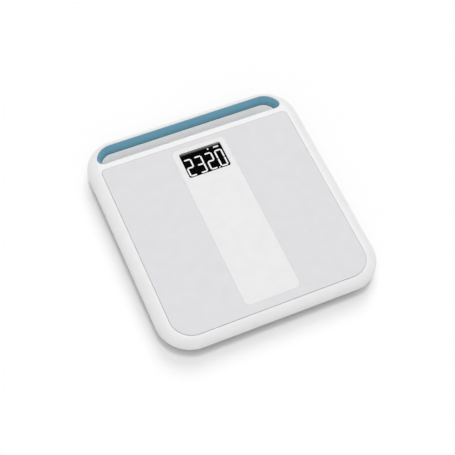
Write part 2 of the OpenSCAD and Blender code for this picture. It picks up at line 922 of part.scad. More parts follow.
module board_screws() {
    color("silver")
        for (p = board_posts)
            translate([p[0], p[1], board_top_z])
                rotate([180, 0, 0])
                    screw(1, 6.5, 2.2, 1.5);
}

module frame_screws() {
    color("silver")
        for (x = [-ear_x, ear_x]) for (y = ear_ys)
            translate([x, y, frame_z])
                screw(1.15, 6, 2.3, 1.5);
}

// Stands its parts on the board, at a place given from the middle of the board's front edge
module on_board(place) {
    translate([place[0], board_front_y + place[1], board_top_z])
        children();
}

module circuit_board() {
    color("seagreen")
        difference() {
            translate([0, 0, board_z])
                linear_extrude(board_t)
                    rounded_rect(-board_w / 2, board_w / 2, board_front_y, board_front_y + board_d, 2, 2);
            for (p = board_posts)
                translate([p[0], p[1], board_z - 1])
                    cylinder(h = board_t + 2, r = 1.3);
        }
}

// Flat chip with rows of legs on two opposite sides, or on all four of a square one
module chip(w, d, h, legs, sides) {
    leg_w = 0.4;
    leg_out = 1;
    pitch = w / legs;
    translate([-w / 2, -d / 2, 0.15])
        cube([w, d, h]);
    for (side = [0 : sides - 1]) for (i = [0 : legs - 1])
        rotate(side * 360 / sides)
            translate([(i + 0.5) * pitch - (w + leg_w) / 2, d / 2 - 0.2, 0])
                cube([leg_w, leg_out + 0.2, 0.5]);
}

module control_chip() {
    color([0.15, 0.15, 0.16])
        on_board(control_chip_at)
            chip(10, 10, 1.4, 8, 4);
}

module converter_chip() {
    color([0.15, 0.15, 0.16])
        on_board(converter_chip_at)
            chip(9, 4, 1.5, 7, 2);
}

module radio_module() {
    carrier_t = 0.8;
    can_t = 1.8;
    on_board(radio_module_at) {
        color("seagreen")
            cube([13, 19, carrier_t]);
        color("silver")
            translate([1, 1, carrier_t - eps])
                cube([11, 12, can_t + eps]);
    }
}

module crystal() {
    can_r = 1.9;
    can_h = 3.4;
    color("silver")
        on_board(crystal_at) {
            translate([-3, -can_r, 0])
                cube([6, 2 * can_r, can_h]);
            for (x = [-3, 3])
                translate([x, 0, 0])
                    cylinder(h = can_h, r = can_r);
        }
}

module lead_sockets() {
    color("ivory")
        for (s = lead_ends)
            on_board([s[0] * (socket_x + socket_w / 2) - socket_w / 2, s[1] - 4])
                cube([socket_w, 8, socket_h]);
}

module ribbon_socket() {
    color("ivory")
        on_board([-16, front_socket_y])
            cube([32, 4, 2.2]);
}

module power_socket() {
    color("ivory")
        on_board([-28, front_socket_y])
            cube([8, socket_w, socket_h]);
}

// Button cap with the flange that keeps it in, standing in the base's floor
module button_at(p) {
    face_z = base_lift + 0.3;
    translate([p[0], p[1], 0])
        difference() {
            union() {
                translate([0, 0, face_z])
                    cylinder(h = flange_z + flange_t - face_z, r = button_r);
                translate([0, 0, flange_z])
                    cylinder(h = flange_t, r = flange_r);
            }
            translate([0, 0, face_z - 9.7])
                sphere(10);
        }
}

module plunger_at(p) {
    translate([p[0], p[1], flange_z + flange_t])
        cylinder(h = board_z - switch_t + 1 - flange_z - flange_t, r = plunger_r);
}

module switch_at(p) {
    half = 3;
    translate([p[0], p[1], board_z - switch_t])
        difference() {
            translate([-half, -half, 0])
                cube([2 * half, 2 * half, switch_t]);
            translate([0, 0, -1])
                cylinder(h = 3.2, r = plunger_r + pin_gap);
        }
}

module unit_button() {
    color("lightgray") button_at(button_sites[0]);
}

module unit_switch_plunger() {
    color([0.15, 0.15, 0.16]) plunger_at(button_sites[0]);
}

module unit_switch() {
    color("silver") switch_at(button_sites[0]);
}

module pairing_button() {
    color("lightblue") button_at(button_sites[1]);
}

module pairing_switch_plunger() {
    color([0.15, 0.15, 0.16]) plunger_at(button_sites[1]);
}

module pairing_switch() {
    color("silver") switch_at(button_sites[1]);
}

// Hinged lid over the batteries, with a sprung tongue at its front edge
module battery_door() {
    door_x = box_x + 1.2;
    front_y = box_front_y - box_wall - 0.3;
    shoulder_y = hinge_y - 3.3;
    tongue_h = 6;
    color("whitesmoke") {
        difference() {
            union() {
                translate([-door_x, front_y, base_lift])
                    cube([2 * door_x, shoulder_y - front_y, door_t]);
                translate([-hinge_x, shoulder_y - 1, base_lift])
                    cube([2 * hinge_x, hinge_y - shoulder_y + 1, door_t]);
                translate([-hinge_x, hinge_y, hinge_z])
                    rotate([0, 90, 0])
                        cylinder(h = 2 * hinge_x, r = hinge_r);
            }
            for (i = [0 : 5])
                translate([-12, front_y + 6 + 2 * i, base_lift - 1])
                    cube([24, 0.8, 1.4]);
        }
        translate([-hinge_x - 2.2, hinge_y, hinge_z])
            rotate([0, 90, 0])
                cylinder(h = 2 * hinge_x + 4.4, r = door_pin_r);
        translate([-tongue_x, front_y - 1.1, base_lift + 1])
            cube([2 * tongue_x, 1.1 + eps, tongue_h]);
        translate([-tongue_x, front_y - 4, base_lift + tongue_h])
            cube([2 * tongue_x, 3, 1]);
        translate([-tongue_x, front_y - 4, base_lift + 0.6])
            cube([2 * tongue_x, 1, tongue_h - 0.5]);
        translate([-tongue_x, front_y - 5.4, base_lift + 0.6])
            cube([2 * tongue_x, 1.6, 1.2]);
    }
}

// Place and direction of battery i, counted from the left: odd ones face the back
function battery_x(i) = (i - 2.5) * battery_pitch;
function faces_back(i) = i % 2 == 1;

module battery(i) {
    nub_len = 1.3;
    nub_r = 2.75;
    nub_y = box_rear_y - contact_t - nub_gap;
    mid_y = (box_front_y + box_rear_y) / 2;
    body_len = battery_len - nub_len;
    color("slategray")
        translate([battery_x(i), mid_y, battery_z])
            rotate(faces_back(i) ? 0 : 180)
                translate([0, nub_y - mid_y, 0])
                    rotate([90, 0, 0]) {
                        cylinder(h = nub_len + eps, r = nub_r);
                        translate([0, 0, nub_len])
                            cylinder(h = 0.8, r1 = battery_r - 0.8, r2 = battery_r);
                        translate([0, 0, nub_len + 0.8 - eps])
                            cylinder(h = body_len - 0.8, r = battery_r);
                    }
}

// Conical coil spring along +Z, as rings of points joined into one tube
function coil_point(i, j) =
    let(
        t = i / coil_steps,
        a = 360 * coil_turns * t,
        b = 360 * j / coil_sides,
        r = coil_wide_r + (coil_narrow_r - coil_wide_r) * t + coil_wire_r * cos(b)
    )
    [r * cos(a), r * sin(a), coil_wire_r + (coil_len - 2 * coil_wire_r) * t + coil_wire_r * sin(b)];

module coil_spring() {
    points = [for (i = [0 : coil_steps]) for (j = [0 : coil_sides - 1]) coil_point(i, j)];
    polyhedron(points, tube_faces(coil_steps + 1, coil_sides));
}

module battery_springs() {
    color("silver")
        for (i = [1 : 4]) {
            wall_y = faces_back(i) ? box_front_y + contact_t + 0.02 : box_rear_y - contact_t - 0.02;
            translate([battery_x(i), wall_y, battery_z])
                rotate([faces_back(i) ? -90 : 90, 0, 0])
                    coil_spring();
        }
}

// Nickel plate on an end wall behind one end of battery i, with a disc where the nub presses
module contact_plate(i, back) {
    plate_w = 11;
    plate_h = 12;
    disc_r = 3;
    wall_y = back ? rear_contact_y : front_contact_y;
    translate([battery_x(i) - plate_w / 2, wall_y, battery_z - plate_h / 2])
        cube([plate_w, contact_t, plate_h]);
    if (back == faces_back(i))
        translate([battery_x(i), back ? wall_y : wall_y + contact_t, battery_z])
            rotate([back ? 90 : -90, 0, 0])
                cylinder(h = nub_gap - 0.05, r = disc_r);
}

// Pairs of plates that join each battery to the next
module battery_bridges() {
    color("silver")
        for (i = [1 : 3]) {
            back = i == 2;
            contact_plate(i, back);
            contact_plate(i + 1, back);
            translate([battery_x(i), back ? rear_contact_y : front_contact_y, battery_z - 2])
                cube([battery_pitch, contact_t, 4]);
        }
}

// The two end plates of the row, with tabs that reach out through the box's roof
module battery_terminals() {
    tab_w = 4;
    color("silver")
        for (i = [1, 4]) {
            contact_plate(i, true);
            translate([battery_x(i) - tab_w / 2, rear_contact_y, battery_z])
                cube([tab_w, contact_t, box_roof_z + box_wall + 2 - battery_z]);
        }
}

// Unit vector along v
function unit(v) = v / norm(v);

// Route through the same corners with each bend eased into a short curve
function eased(route, i) =
    let(
        p = route[i],
        back = route[i - 1] - p,
        ahead = route[i + 1] - p,
        cut = min(wire_bend, norm(back) * 0.45, norm(ahead) * 0.45),
        a = p + unit(back) * cut,
        b = p + unit(ahead) * cut
    )
    [for (t = [0 : 0.25 : 1]) a * (1 - t) * (1 - t) + p * 2 * t * (1 - t) + b * t * t];
function smooth_route(route) = concat(
    [route[0]], [for (i = [1 : len(route) - 2]) each eased(route, i)], [route[len(route) - 1]]
);

// Each ring is the one before it, carried along the wire to the plane that halves the bend
function bend_plane(route, i) =
    let(into = unit(route[i] - route[i - 1]))
    i == len(route) - 1 ? into : unit(into + unit(route[i + 1] - route[i]));
function next_ring(route, ring, i) =
    let(into = unit(route[i] - route[i - 1]), plane = bend_plane(route, i))
    [for (q = ring) q + into * (((route[i] - q) * plane) / (into * plane))];
function rings_from(route, ring, i) =
    i == len(route) ? [ring] : concat([ring], rings_from(route, next_ring(route, ring, i), i + 1));
function first_ring(route) =
    let(
        along = unit(route[1] - route[0]),
        across = unit(cross(along, abs(along[2]) > 0.9 ? [1, 0, 0] : [0, 0, 1])),
        up = cross(across, along)
    )
    [for (j = [0 : wire_sides - 1])
        let(a = 360 * j / wire_sides)
        route[0] + wire_r * (cos(a) * across + sin(a) * up)];

// Faces of a tube whose points are rings of n, one after another
function tube_faces(rings, n) = concat(
    [for (i = [0 : rings - 2]) for (j = [0 : n - 1])
        [i * n + j, i * n + (j + 1) % n, (i + 1) * n + (j + 1) % n, (i + 1) * n + j]],
    [[for (j = [n - 1 : -1 : 0]) j], [for (j = [0 : n - 1]) (rings - 1) * n + j]]
);

// Insulated wire along a route, with eased bends
module wire(route) {
    smooth = smooth_route(route);
    rings = rings_from(smooth, first_ring(smooth), 1);
    polyhedron([for (ring = rings) each ring], tube_faces(len(rings), wire_sides));
}

module battery_lead_red() {
    x = -1.5 * battery_pitch;
    z = box_roof_z + box_wall + 1;
    color("firebrick")
        wire([
            [x, box_rear_y, z], [x, 14, z], [x - 1.2, 20, lead_z], [x - 1.2, board_front_y + 3.5, lead_z]
        ]);
}

module battery_lead_black() {
    x = 1.5 * battery_pitch;
    z = box_roof_z + box_wall + 1;
    color([0.12, 0.12, 0.12])
        wire([
            [x, box_rear_y, z], [x, 14, z], [x, 20, lead_z], [x, 46, lead_z], [-22, 56, lead_z],
            [-22, board_front_y + 3.5, lead_z]
        ]);
}

// Stamped steel plate: a square frame round the tongue that the foot presses on
module load_cell(i) {
    p = foot_sites[i];
    half = cell_w / 2;
    tongue = 6;
    slit = 2;
    color("silver")
        translate([p[0], p[1], cell_z])
            linear_extrude(cell_t)
                difference() {
                    rounded_rect(-half, half, -half, half, 3, 3);
                    for (x = [-tongue - slit, tongue])
                        translate([x, -half + 5])
                            square([slit, cell_w - 11]);
                    translate([-tongue - slit, -half + 5])
                        square([2 * (tongue + slit), slit]);
                    circle(2.15);
                    for (x = [-12.5, 12.5])
                        translate([x, 0])
                            circle(1.6);
                }
}

// Three wires from a load cell, out through its tower and across the base to the board
module cell_lead(i) {
    p = foot_sites[i];
    side = p[0] > 0 ? 1 : -1;
    in_x = p[0] - side * (cell_w / 2 + 4);
    socket_y = board_front_y + lead_ends[i][1];
    low_z = cell_z + cell_t / 2;
    elbow = side * (board_w / 2 + 18);
    lane = side * 84;
    start = [[p[0] - side * cell_w / 2, p[1], low_z], [in_x, p[1], low_z], [in_x, p[1], lead_z]];
    across = i < 2
        ? [[lane, p[1], lead_z], [lane, socket_y - 22, lead_z], [elbow, socket_y, lead_z]]
        : [[elbow, socket_y, lead_z]];
    finish = [[side * (socket_x + socket_w), socket_y, lead_z]];
    color("dimgray")
        for (k = [-1 : 1])
            translate([0, k * lead_step, k * lead_step])
                wire(concat(start, across, finish));
}

// Plastic foot: a dish with a central stem that presses on the load cell's tongue
module foot(i) {
    p = foot_sites[i];
    stem_r = 5;
    web_t = 1.6;
    skirt_t = 2;
    floor_z = pad_t - 0.6;
    floor_t = 2.4;
    skirt_z = base_lift + 2.6;
    color("gray")
        translate([p[0], p[1], 0])
            difference() {
                union() {
                    translate([0, 0, floor_z])
                        cylinder(h = floor_t, r = foot_r);
                    difference() {
                        translate([0, 0, floor_z])
                            cylinder(h = skirt_z - floor_z, r = foot_r);
                        translate([0, 0, floor_z])
                            cylinder(h = skirt_z, r = foot_r - skirt_t);
                    }
                    translate([0, 0, floor_z])
                        cylinder(h = cell_z - floor_z, r = stem_r);
                    translate([0, 0, floor_z])
                        cylinder(h = ledge_z + 0.6 - floor_z, r = 2);
                    for (turn = [0, 90])
                        rotate(turn)
                            translate([1 - foot_r, -web_t / 2, floor_z])
                                cube([2 * foot_r - 2, web_t, skirt_z - 0.6 - floor_z]);
                }
                translate([0, 0, floor_z - 1])
                    cylinder(h = 1.6, r = pad_r + 0.1);
            }
}

// Rubber pad with a chamfered edge and one ring groove
module pad(i) {
    p = foot_sites[i];
    edge = 0.5;
    color([0.35, 0.35, 0.36])
        translate([p[0], p[1], 0])
            difference() {
                union() {
                    cylinder(h = edge, r1 = pad_r - edge, r2 = pad_r);
                    translate([0, 0, edge - eps])
                        cylinder(h = pad_t - edge, r = pad_r);
                }
                translate([0, 0, -1])
                    difference() {
                        cylinder(h = 1.6, r = pad_r - 4);
                        translate([0, 0, -1])
                            cylinder(h = 4, r = pad_r - 5.5);
                    }
            }
}

top_cover();
bottom_cover();
platform_mat();
centre_strip();
handle_grip();
stiffener_plate();
display_window();
display_glass();
display_segments();
backlight();
display_frame();
display_ribbon();
circuit_board();
control_chip();
converter_chip();
radio_module();
crystal();
lead_sockets();
ribbon_socket();
power_socket();
unit_button();
unit_switch_plunger();
unit_switch();
pairing_button();
pairing_switch_plunger();
pairing_switch();
battery_door();
battery(1);  // battery_1
battery(2);  // battery_2
battery(3);  // battery_3
battery(4);  // battery_4
battery_springs();
battery_bridges();
battery_terminals();
battery_lead_red();
battery_lead_black();
load_cell(0);  // load_cell_front_left
load_cell(1);  // load_cell_front_right
load_cell(2);  // load_cell_rear_left
load_cell(3);  // load_cell_rear_right
cell_lead(0);  // cell_lead_front_left
cell_lead(1);  // cell_lead_front_right
cell_lead(2);  // cell_lead_rear_left
cell_lead(3);  // cell_lead_rear_right
foot(0);  // foot_front_left
foot(1);  // foot_front_right
foot(2);  // foot_rear_left
foot(3);  // foot_rear_right
pad(0);  // pad_front_left
pad(1);  // pad_front_right
pad(2);  // pad_rear_left
pad(3);  // pad_rear_right
cover_screws();
board_screws();
frame_screws();
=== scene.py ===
import json
import math

import bmesh
import bpy
from mathutils import Matrix, Vector
from mathutils.geometry import delaunay_2d_cdt


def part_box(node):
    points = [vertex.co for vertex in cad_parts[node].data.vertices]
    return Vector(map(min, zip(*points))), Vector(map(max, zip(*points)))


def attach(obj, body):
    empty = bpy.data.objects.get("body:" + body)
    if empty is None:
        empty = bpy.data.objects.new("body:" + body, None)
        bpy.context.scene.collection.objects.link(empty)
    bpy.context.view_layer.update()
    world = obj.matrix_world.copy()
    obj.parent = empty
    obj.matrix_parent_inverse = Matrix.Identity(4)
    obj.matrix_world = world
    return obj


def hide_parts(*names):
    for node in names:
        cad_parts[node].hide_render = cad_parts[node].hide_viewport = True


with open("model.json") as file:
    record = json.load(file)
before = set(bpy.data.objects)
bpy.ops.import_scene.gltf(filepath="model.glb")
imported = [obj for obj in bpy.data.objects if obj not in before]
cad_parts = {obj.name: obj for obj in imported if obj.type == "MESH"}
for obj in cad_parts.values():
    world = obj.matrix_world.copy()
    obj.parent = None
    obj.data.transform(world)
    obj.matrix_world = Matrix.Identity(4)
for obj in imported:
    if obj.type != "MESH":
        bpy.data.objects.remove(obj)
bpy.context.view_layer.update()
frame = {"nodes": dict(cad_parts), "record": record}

MM = 0.001

# Camera, as it stood for the photograph: its place, its three directions and its lens
CAMERA_AT = (-0.4277, -0.7872, 1.4873)
RIGHT = Vector((0.9147, -0.4010, 0.0497))
DOWN = Vector((-0.3219, -0.7976, -0.5101))
FORWARD = Vector((0.2442, 0.4506, -0.8587))
SENSOR_MM = 36.0
FOCAL_MM = 94.63

# Heights of the housing, in millimetres
SEAM_Z = 22.6
SHOULDER_Z = 25.5
DECK_Z = 33.0
LIP_Z = 33.8
RECESS_Z = 35.7
LENS_Z = 36.9
LENS_SEAT_Z = 36.95
RIM_Z = 37.5
TOP_Z = 38.0
GRIP_Z = (18.7, 33.75)

# The rim: a tight arc at its outer edge runs into a broad one, which ends level with the top
RIM_W = 18.0
RIM_DROP = RIM_Z - SHOULDER_Z
TIGHT_R = 8.5
BROAD_R = ((RIM_W - TIGHT_R) ** 2 + RIM_DROP**2 - TIGHT_R**2) / (2 * (RIM_DROP - TIGHT_R))
BROAD_SHARE = (RIM_W - TIGHT_R) / (BROAD_R - TIGHT_R)
WALL = 2.6

FOOT_SITES = {
    "front_left": (-115, -127),
    "front_right": (115, -127),
    "rear_left": (-115, 98),
    "rear_right": (115, 98),
}


def add_camera():
    """Camera at the photograph's viewing angle."""
    data = bpy.data.cameras.new("camera")
    data.sensor_fit = "HORIZONTAL"
    data.sensor_width = SENSOR_MM
    data.lens = FOCAL_MM
    data.clip_start = 0.05
    data.clip_end = 50.0
    cam = bpy.data.objects.new("camera", data)
    bpy.context.scene.collection.objects.link(cam)
    turn = Matrix((RIGHT, -DOWN, -FORWARD)).transposed().to_4x4()
    cam.matrix_world = Matrix.Translation(CAMERA_AT) @ turn
    bpy.context.scene.camera = cam


class Plan:
    """A rounded rectangle seen from above. Its rings at different offsets have matching points."""

    def __init__(self, x0, x1, y0, y1, front_r, rear_r, arc_steps=28, side_steps=20):
        self.box = (x0, x1, y0, y1)
        self.front_r = front_r
        self.rear_r = rear_r
        self.arc_steps = arc_steps
        self.side_steps = side_steps

    def ring(self, grow=0.0):
        x0, x1, y0, y1 = self.box
        x0, x1, y0, y1 = x0 - grow, x1 + grow, y0 - grow, y1 + grow
        a = self.front_r + grow
        b = self.rear_r + grow
        corners = [
            (x1 - a, y0 + a, a, -90),
            (x1 - b, y1 - b, b, 0),
            (x0 + b, y1 - b, b, 90),
            (x0 + a, y0 + a, a, 180),
        ]
        starts = [(x0 + a, y0), (x1, y0 + a), (x1 - b, y1), (x0, y1 - b)]
        ends = [(x1 - a, y0), (x1, y1 - b), (x0 + b, y1), (x0, y0 + a)]
        points = []
        for (cx, cy, r, turn), p, q in zip(corners, starts, ends):
            for i in range(self.side_steps):
                t = i / self.side_steps
                points.append((p[0] + (q[0] - p[0]) * t, p[1] + (q[1] - p[1]) * t))
            for i in range(self.arc_steps):
                w = math.radians(turn + 90 * i / self.arc_steps)
                points.append((cx + r * math.cos(w), cy + r * math.sin(w)))
        return points

    def grown(self, by, r=None):
        """Outline that lies further out by a distance. Its corners grow with it, unless r sets them."""
        x0, x1, y0, y1 = self.box
        front_r, rear_r = (r, r) if r else (self.front_r + by, self.rear_r + by)
        steps = (self.arc_steps, self.side_steps)
        return Plan(x0 - by, x1 + by, y0 - by, y1 + by, front_r, rear_r, *steps)

    def outside(self, x, y):
        """Distance of a point outside the outline; negative inside."""
        x0, x1, y0, y1 = self.box
        ax, half = abs(x - (x0 + x1) / 2), (x1 - x0) / 2
        for r, dy in ((self.rear_r, y - y1 + self.rear_r), (self.front_r, y0 + self.front_r - y)):
            dx = ax - half + r
            if dx > 0 and dy > 0:
                return math.hypot(dx, dy) - r
        return max(ax - half, y - y1, y0 - y)


class SlotPlan:
    """The handle slot: at each end one broad arc runs into the smaller arc of the front corner."""

    arc = (119.5, 141.7)
    tip_y = 147.5
    front_steps, tip_steps, broad_steps, rear_steps = 60, 24, 28, 50

    def __init__(self, broad, tip):
        self.broad = broad
        self.tip = tip
        rise = self.tip_y - self.arc[1]
        self.tip_x = self.arc[0] + math.sqrt((broad - tip) ** 2 - rise**2)
        self.turn = math.asin(rise / (broad - tip))

    def ring(self, grow=0.0):
        plan = SlotPlan(self.broad + grow, self.tip + grow) if grow else self
        arc_x, arc_y = self.arc
        quarter = math.pi / 2
        half = [(plan.tip_x * i / self.front_steps, self.tip_y - plan.tip) for i in range(self.front_steps)]
        for i in range(self.tip_steps):
            w = (plan.turn + quarter) * i / self.tip_steps - quarter
            half.append((plan.tip_x + plan.tip * math.cos(w), self.tip_y + plan.tip * math.sin(w)))
        for i in range(self.broad_steps):
            w = plan.turn + (quarter - plan.turn) * i / self.broad_steps
            half.append((arc_x + plan.broad * math.cos(w), arc_y + plan.broad * math.sin(w)))
        rear_y = arc_y + plan.broad
        half += [(arc_x * (1 - i / self.rear_steps), rear_y) for i in range(self.rear_steps + 1)]
        return half + [(-x, y) for x, y in half[-2:0:-1]]

    def outside(self, x, y):
        """Distance of a point outside the outline; negative inside."""
        ax = abs(x)
        dx, dy = ax - self.arc[0], y - self.arc[1]
        if ax > self.tip_x and dy * math.cos(self.turn) < dx * math.sin(self.turn):
            return math.hypot(ax - self.tip_x, y - self.tip_y) - self.tip
        if dx > 0 and dy > 0:
            return max(math.hypot(dx, dy) - self.broad, self.tip_y - self.tip - y)
        return max(y - self.arc[1] - self.broad, self.tip_y - self.tip - y)


# Outlines seen from above, in millimetres
OUTER = Plan(-165.5, 165.5, -178, 178, 50, 50)
MAT = Plan(-147.5, 147.5, -164.5, 129.1, 32, 7)
SLOT = SlotPlan(27, 9)
SLOT_SEAT = SlotPlan(29, 9)
SLOT_WALL = SlotPlan(31, 11)
GRIP_END = SlotPlan(28.95, 8.9)
STRIP = Plan(-42, 42, -150.5, 120.9, 8, 8, 16)
WINDOW = Plan(-32.5, 32.5, 69.4, 113.4, 3, 3, 10, 8)
SCREEN = Plan(-33.6, 33.6, 68.3, 114.5, 0.4, 0.4, 3, 8)


def rim_height(x, y, inset=0.0, top=RIM_Z):
    """Height of the housing's outside at a point, or of a surface inset below it, cut off level at top."""
    depth = -OUTER.outside(x, y)
    if depth >= RIM_W:
        return min(RIM_Z - inset, top)
    broad = BROAD_R - inset
    tight = TIGHT_R - inset
    if depth > RIM_W - broad * BROAD_SHARE:
        z = RIM_Z - BROAD_R + math.sqrt(broad**2 - (RIM_W - depth) ** 2)
    else:
        z = SHOULDER_Z + math.sqrt(max(tight**2 - (TIGHT_R - depth) ** 2, 0))
    return min(z, top)


class Solid:
    """Collects rings, lofts and filled areas, and makes one closed mesh of them."""

    def __init__(self):
        self.verts = []
        self.faces = []

    def ring(self, points, z):
        """z is a height, or a function of x and y."""
        first = len(self.verts)
        for x, y in points:
            self.verts.append((x, y, z(x, y) if callable(z) else z))
        return list(range(first, len(self.verts)))

    def loft(self, *rings):
        """Bands of faces between rings with matching points."""
        for a, b in zip(rings, rings[1:]):
            for i in range(len(a)):
                j = (i + 1) % len(a)
                self.faces.append((a[i], a[j], b[j], b[i]))

    def fill(self, loops, keep, extra=(), z=0.0):
        """Triangles between loops of points, with extra points at height z, where keep(x, y) is true."""
        ids = [i for loop in loops for i in loop]
        edges = []
        at = 0
        for loop in loops:
            n = len(loop)
            edges += [(at + i, at + (i + 1) % n) for i in range(n)]
            at += n
        ids += self.ring(extra, z) if extra else []
        flat = [Vector(self.verts[i][:2]) for i in ids]
        out, _, faces, source, _, _ = delaunay_2d_cdt(flat, edges, [], 0, 1e-5)
        for face in faces:
            x = sum(out[i][0] for i in face) / len(face)
            y = sum(out[i][1] for i in face) / len(face)
            if keep(x, y):
                self.faces.append(tuple(ids[source[i][0]] for i in face))

    def piece(self, name, mat, body, sharp=35.0):
        """Object in metres that rides on a body, smooth but for edges sharper than an angle in degrees."""
        merge = 2e-6
        mesh = bpy.data.meshes.new(name)
        bm = bmesh.new()
        made = [bm.verts.new(Vector(v) * MM) for v in self.verts]
        for face in self.faces:
            bm.faces.new([made[i] for i in face])
        bmesh.ops.remove_doubles(bm, verts=bm.verts, dist=merge)
        loose = [v for v in bm.verts if not v.link_faces]
        bmesh.ops.delete(bm, geom=loose, context="VERTS")
        bmesh.ops.dissolve_degenerate(bm, dist=merge, edges=bm.edges)
        bmesh.ops.recalc_face_normals(bm, faces=bm.faces)
        for face in bm.faces:
            face.smooth = True
        for edge in bm.edges:
            if len(edge.link_faces) == 2 and edge.calc_face_angle() > math.radians(sharp):
                edge.smooth = False
        bm.to_mesh(mesh)
        bm.free()
        mesh.materials.append(mat)
        obj = bpy.data.objects.new(name, mesh)
        bpy.context.scene.collection.objects.link(obj)
        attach(obj, body)
        return obj


def rounding(r, steps=6):
    """Steps round a quarter circle: how far out from the wall, and how far below the top."""
    for k in range(steps + 1):
        w = math.radians(90 * k / steps)
        yield r * (1 - math.sin(w)), r * (1 - math.cos(w))


def edge_profile(z0, z1, r, side, steps=5):
    """Upright wall with a rounded top edge.

    side is -1 where the solid lies inside the outline, and +1 round a hole.
    """
    rounded = [(side * out, z1 - drop) for out, drop in rounding(r, steps)]
    return [(0.0, z0)] + rounded[::-1]


def slab(name, mat, body, outer, outer_profile, holes=()):
    """Solid between an outline and its holes, each with a profile of offsets and heights, from below."""
    solid = Solid()
    lows, highs = [], []
    for plan, profile in [(outer, outer_profile), *holes]:
        rings = [solid.ring(plan.ring(off), z) for off, z in profile]
        solid.loft(*rings)
        lows.append(rings[0])
        highs.append(rings[-1])
    for loops, k in ((lows, 0), (highs, -1)):
        reach = outer_profile[k][0]

        def keep(x, y):
            if outer.outside(x, y) > reach + 0.05:
                return False
            return all(plan.outside(x, y) > profile[k][0] for plan, profile in holes)

        solid.fill(loops, keep)
    return solid.piece(name, mat, body)


def contours(start, count, keep, step=0.5):
    """Points on rings inside the outer outline, from a depth inwards, where keep(x, y) is true."""
    rings = [OUTER.ring(-start - k * step) for k in range(count)]
    return [point for ring in rings for point in ring if keep(*point)]


def top_shell(mat):
    """Top cover: the rim, the mat's recess, the display's hole, the slot's wall and the hollow inside."""
    solid = Solid()
    slot_r, mat_r = 1.0, 0.9
    seam_inset, seam_bevel = 0.25, 0.3
    tight_steps, inner_steps = 12, 6
    inner_depth = 4.0
    clear = 0.4

    # Outer side, from the seam over the tight arc to where the top begins
    tight = []
    tight_depth = RIM_W - BROAD_R * BROAD_SHARE
    for k in range(tight_steps + 1):
        w = math.acos(1 - tight_depth / TIGHT_R) * k / tight_steps
        tight.append(TIGHT_R * (1 - math.cos(w)))
    depths = tight + [3.8, 4.7, 5.6, 6.5]
    rings = [solid.ring(OUTER.ring(-seam_inset), SEAM_Z), solid.ring(OUTER.ring(0), SEAM_Z + seam_bevel)]
    rings += [solid.ring(OUTER.ring(-d), rim_height) for d in depths]
    solid.loft(*rings)
    outer_top = rings[-1]

    # Rounded edges of the mat's recess and of the handle slot
    def rounded_edge(plan, r):
        made = []
        for out, drop in rounding(r):
            made.append(solid.ring(plan.ring(out), lambda x, y: rim_height(x, y) - drop))
        solid.loft(*made)
        return made[0], made[-1]

    mat_top, mat_low = rounded_edge(MAT, mat_r)
    slot_top, slot_low = rounded_edge(SLOT, slot_r)

    def on_top(x, y, margin=0.0):
        return MAT.outside(x, y) > mat_r + margin and SLOT.outside(x, y) > slot_r + margin

    extra = contours(7, 22, lambda x, y: on_top(x, y, clear))
    solid.fill([outer_top, mat_top, slot_top], on_top, extra, rim_height)

    # Recess under the mat, and the hole for the display
    recess = solid.ring(MAT.ring(), RECESS_Z)
    screen_top = solid.ring(SCREEN.ring(), RECESS_Z)
    screen_low = solid.ring(SCREEN.ring(), DECK_Z)
    solid.loft(mat_low, recess)
    solid.loft(screen_top, screen_low)
    solid.fill([recess, screen_top], lambda x, y: SCREEN.outside(x, y) > 0)

    # Slot wall: the lip, the ledge over the grip, the wall behind it and the wall's inner side
    def inner_height(x, y):
        return rim_height(x, y, WALL, DECK_Z)

    lip = solid.ring(SLOT.ring(), LIP_Z)
    ledge = solid.ring(SLOT_SEAT.ring(), LIP_Z)
    foot = solid.ring(SLOT_SEAT.ring(), SEAM_Z)
    inner_foot = solid.ring(SLOT_WALL.ring(), SEAM_Z)
    inner_top = solid.ring(SLOT_WALL.ring(), inner_height)
    solid.loft(slot_low, lip, ledge, foot, inner_foot, inner_top)

    # Inner side of the rim, and the deck's underside
    inner = [solid.ring(OUTER.ring(-WALL), SEAM_Z)]
    for k in range(inner_steps + 1):
        w = math.acos((TIGHT_R - inner_depth) / (TIGHT_R - WALL)) * k / inner_steps
        inner.append(solid.ring(OUTER.ring(-TIGHT_R + (TIGHT_R - WALL) * math.cos(w)), inner_height))
    solid.loft(*inner)
    solid.loft(rings[0], inner[0])
    extra = contours(inner_depth + 0.5, 12, lambda x, y: SLOT_WALL.outside(x, y) > clear / 2)

    def under_deck(x, y):
        return SCREEN.outside(x, y) > 0 and SLOT_WALL.outside(x, y) > 0

    solid.fill([inner[-1], inner_top, screen_low], under_deck, extra, inner_height)
    return solid.piece("shell_top", mat, "housing")


def grip_section(steps=10):
    """Section of the soft liner: how far out from the slot's edge, and height. Closed, anticlockwise."""
    z0, z1 = GRIP_Z
    edge_r, lean, outer = 2.0, 7.5, 1.9
    top_r, bow = 0.35, 0.8
    tall = z1 - z0
    tilt = math.atan2(lean, tall)
    cx = edge_r / math.cos(tilt) - lean * (tall - edge_r) / tall
    cz = z0 + edge_r
    points = [(outer, z0), (outer, z0 + tall / 2), (outer, z1)]
    points += [(outer * 0.6, z1), (top_r, z1), (0.1, z1 - 0.08), (0.0, z1 - top_r)]
    touch = (cx - edge_r * math.cos(tilt), cz - edge_r * math.sin(tilt))
    for k in range(1, steps):
        t = k / steps
        hollow = bow * math.sin(math.pi * t)
        points.append((touch[0] * t - hollow, (z1 - top_r) * (1 - t) + touch[1] * t))
    for k in range(steps + 1):
        w = math.pi + tilt + (math.pi / 2 - tilt) * k / steps
        points.append((cx + edge_r * math.cos(w), cz + edge_r * math.sin(w)))
    return points


